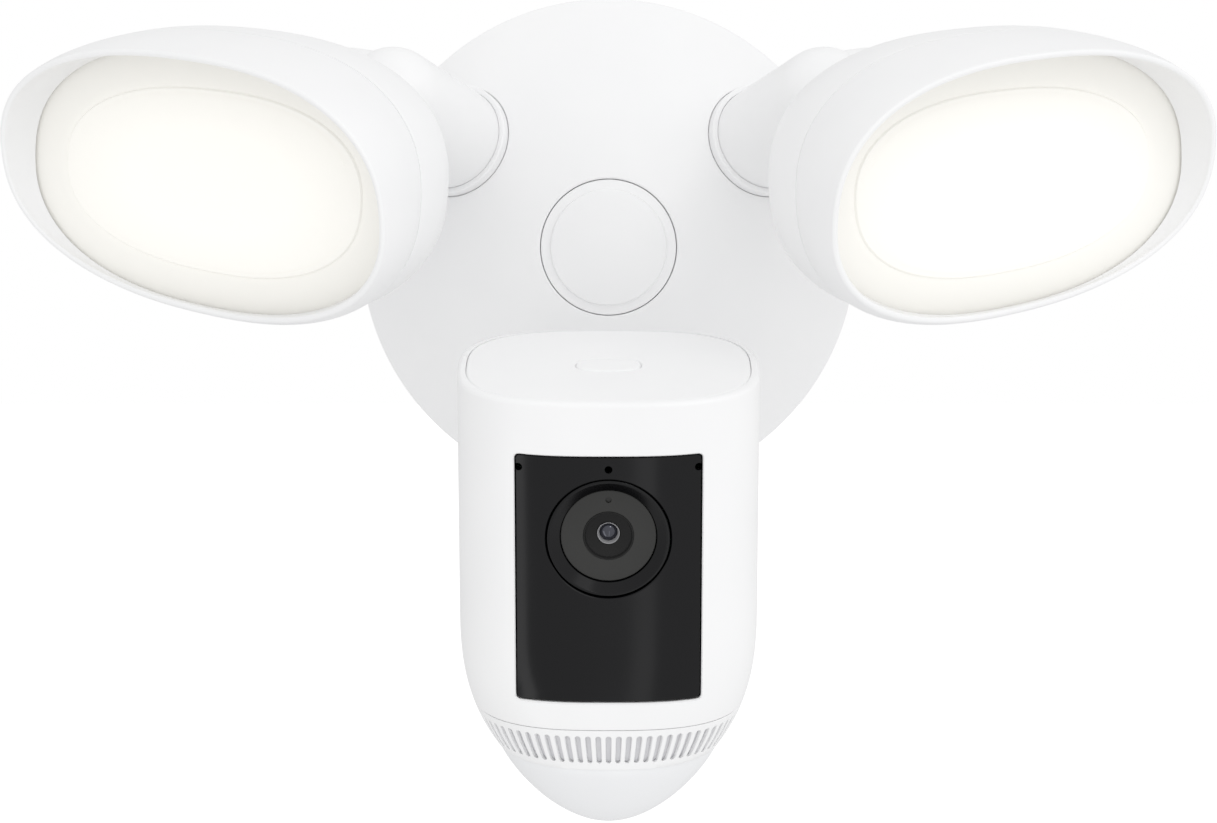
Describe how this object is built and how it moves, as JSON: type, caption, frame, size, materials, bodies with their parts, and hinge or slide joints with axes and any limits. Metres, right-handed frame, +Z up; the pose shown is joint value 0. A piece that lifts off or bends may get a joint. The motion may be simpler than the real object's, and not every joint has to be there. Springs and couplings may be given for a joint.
{
  "type": "floodlight security camera",
  "caption": "Wall-mounted security camera on a ball joint below a round domed base, with two hooded oval LED lamps on swivelling arms; white plastic, black camera window, warm lit lamps.",
  "frame": {"origin": "centre of the mounting bracket on the wall plane, which is the centre of the round base", "axes": "+Y into the wall, +Z up, +X to the right of a person facing the camera; the camera and the lamps look towards -Y"},
  "size_m": [0.2924, 0.1386, 0.2013],
  "materials": {
    "white_plastic": "fine satin texture, UV-stable outdoor plastic",
    "dome_film": "thin translucent white polyethylene, smooth outside",
    "lamp_diffuser": "frosted polycarbonate, lit warm white from behind",
    "black_gloss": "black, glossy",
    "lens_grey": "dark grey, fine matt",
    "lens_glass": "coated glass, dark behind",
    "rubber": "matt black",
    "nylon": "grey glass-filled nylon",
    "zinc_steel": "zinc plated",
    "aluminium": "extruded, plain",
    "reflector_white": "bright white",
    "circuit_board": "green solder mask",
    "dark_plastic": "dark grey"
  },
  "bodies": {
    "base": {"mounting_bracket": "zinc_steel", "base_gasket": "rubber", "base_back_plate": "white_plastic", "wire_grommet": "rubber", "base_cover": "white_plastic", "driver_board": "circuit_board", "power_supply_block": "dark_plastic", "terminal_block": "dark_plastic", "collar_left": "white_plastic", "collar_right": "white_plastic", "collar_stem": "white_plastic", "arm_seal_left": "rubber", "arm_seal_right": "rubber", "stem_seal": "rubber", "stem_lock_nut": "zinc_steel", "camera_stem": "white_plastic", "stem_ball": "white_plastic"},
    "mounting_bolt": {"mounting_bolt": "zinc_steel"},
    "centre_cap": {"centre_cap": "white_plastic"},
    "arm_left": {"arm_left": "white_plastic", "arm_lock_nut_left": "zinc_steel", "knuckle_nut_left": "zinc_steel"},
    "arm_right": {"arm_right": "white_plastic", "arm_lock_nut_right": "zinc_steel", "knuckle_nut_right": "zinc_steel"},
    "knuckle_screw_left": {"knuckle_screw_left": "zinc_steel"},
    "knuckle_screw_right": {"knuckle_screw_right": "zinc_steel"},
    "lamp_left": {"lamp_housing_left": "white_plastic", "lamp_bezel_left": "white_plastic", "lamp_diffuser_left": "lamp_diffuser", "lens_gasket_left": "rubber", "reflector_left": "reflector_white", "led_board_left": "circuit_board", "heat_sink_left": "aluminium"},
    "lamp_right": {"lamp_housing_right": "white_plastic", "lamp_bezel_right": "white_plastic", "lamp_diffuser_right": "lamp_diffuser", "lens_gasket_right": "rubber", "reflector_right": "reflector_white", "led_board_right": "circuit_board", "heat_sink_right": "aluminium"},
    "ball_liner": {"ball_liner": "nylon"},
    "camera": {"camera_front_shell": "white_plastic", "camera_rear_shell": "white_plastic", "lid": "white_plastic", "button_switch": "dark_plastic", "faceplate": "black_gloss", "lens_trim_ring": "black_gloss", "lens_barrel": "lens_grey", "lens_glass": "lens_glass", "image_sensor_board": "circuit_board", "image_sensor": "dark_plastic", "main_board": "circuit_board", "speaker": "dark_plastic", "sensor_board": "circuit_board", "motion_sensor": "zinc_steel", "grille_ring": "white_plastic", "sensor_dome": "dome_film"},
    "setup_button": {"setup_button": "white_plastic"},
    "socket_clamp_ring": {"socket_clamp_ring": "white_plastic"}
  },
  "joints": [
    {"name": "arm_left_swivel", "type": "hinge", "parent": "base", "child": "arm_left", "pos_m": [-0.03925, -0.01841, 0.02728], "axis": [0.4266, 0.8545, -0.2965], "range_deg": [-15, 60]},
    {"name": "arm_right_swivel", "type": "hinge", "parent": "base", "child": "arm_right", "pos_m": [0.03925, -0.01841, 0.02728], "axis": [0.4266, -0.8545, 0.2965], "range_deg": [-15, 60]},
    {"name": "lamp_left_tilt", "type": "hinge", "parent": "arm_left", "child": "lamp_left", "pos_m": [-0.05333, -0.04661, 0.03706], "axis": [0.8982, -0.4151, -0.1444], "range_deg": [-35, 30]},
    {"name": "lamp_right_tilt", "type": "hinge", "parent": "arm_right", "child": "lamp_right", "pos_m": [0.05333, -0.04661, 0.03706], "axis": [0.8982, 0.4151, 0.1444], "range_deg": [-35, 30]},
    {"name": "knuckle_screw_left_turn", "type": "hinge", "parent": "arm_left", "child": "knuckle_screw_left", "pos_m": [-0.05333, -0.04661, 0.03706], "axis": [0.8982, -0.4151, -0.1444], "continuous": true},
    {"name": "knuckle_screw_right_turn", "type": "hinge", "parent": "arm_right", "child": "knuckle_screw_right", "pos_m": [0.05333, -0.04661, 0.03706], "axis": [0.8982, 0.4151, 0.1444], "continuous": true},
    {"name": "camera_pan", "type": "hinge", "parent": "base", "child": "ball_liner", "pos_m": [0, -0.05793, -0.0682], "axis": [0, 0, 1], "range_deg": [-30, 30]},
    {"name": "camera_tilt", "type": "hinge", "parent": "ball_liner", "child": "camera", "pos_m": [0, -0.05793, -0.0682], "axis": [1, 0, 0], "range_deg": [-20, 25]},
    {"name": "clamp_ring_turn", "type": "hinge", "parent": "camera", "child": "socket_clamp_ring", "pos_m": [0, -0.05793, -0.0682], "axis": [0, 0.866, 0.5], "continuous": true},
    {"name": "setup_button_press", "type": "slide", "parent": "camera", "child": "setup_button", "axis": [0, 0.2588, -0.9659], "range_m": [0, 0.0008], "stiffness_N_per_m": 800, "springref_m": -0.0002},
    {"name": "centre_cap_pull", "type": "slide", "parent": "base", "child": "centre_cap", "axis": [0, -1, 0], "range_m": [0, 0.014]},
    {"name": "mounting_bolt_turn", "type": "hinge", "parent": "base", "child": "mounting_bolt", "pos_m": [0, -0.02, 0], "axis": [0, -1, 0], "continuous": true}
  ]
}
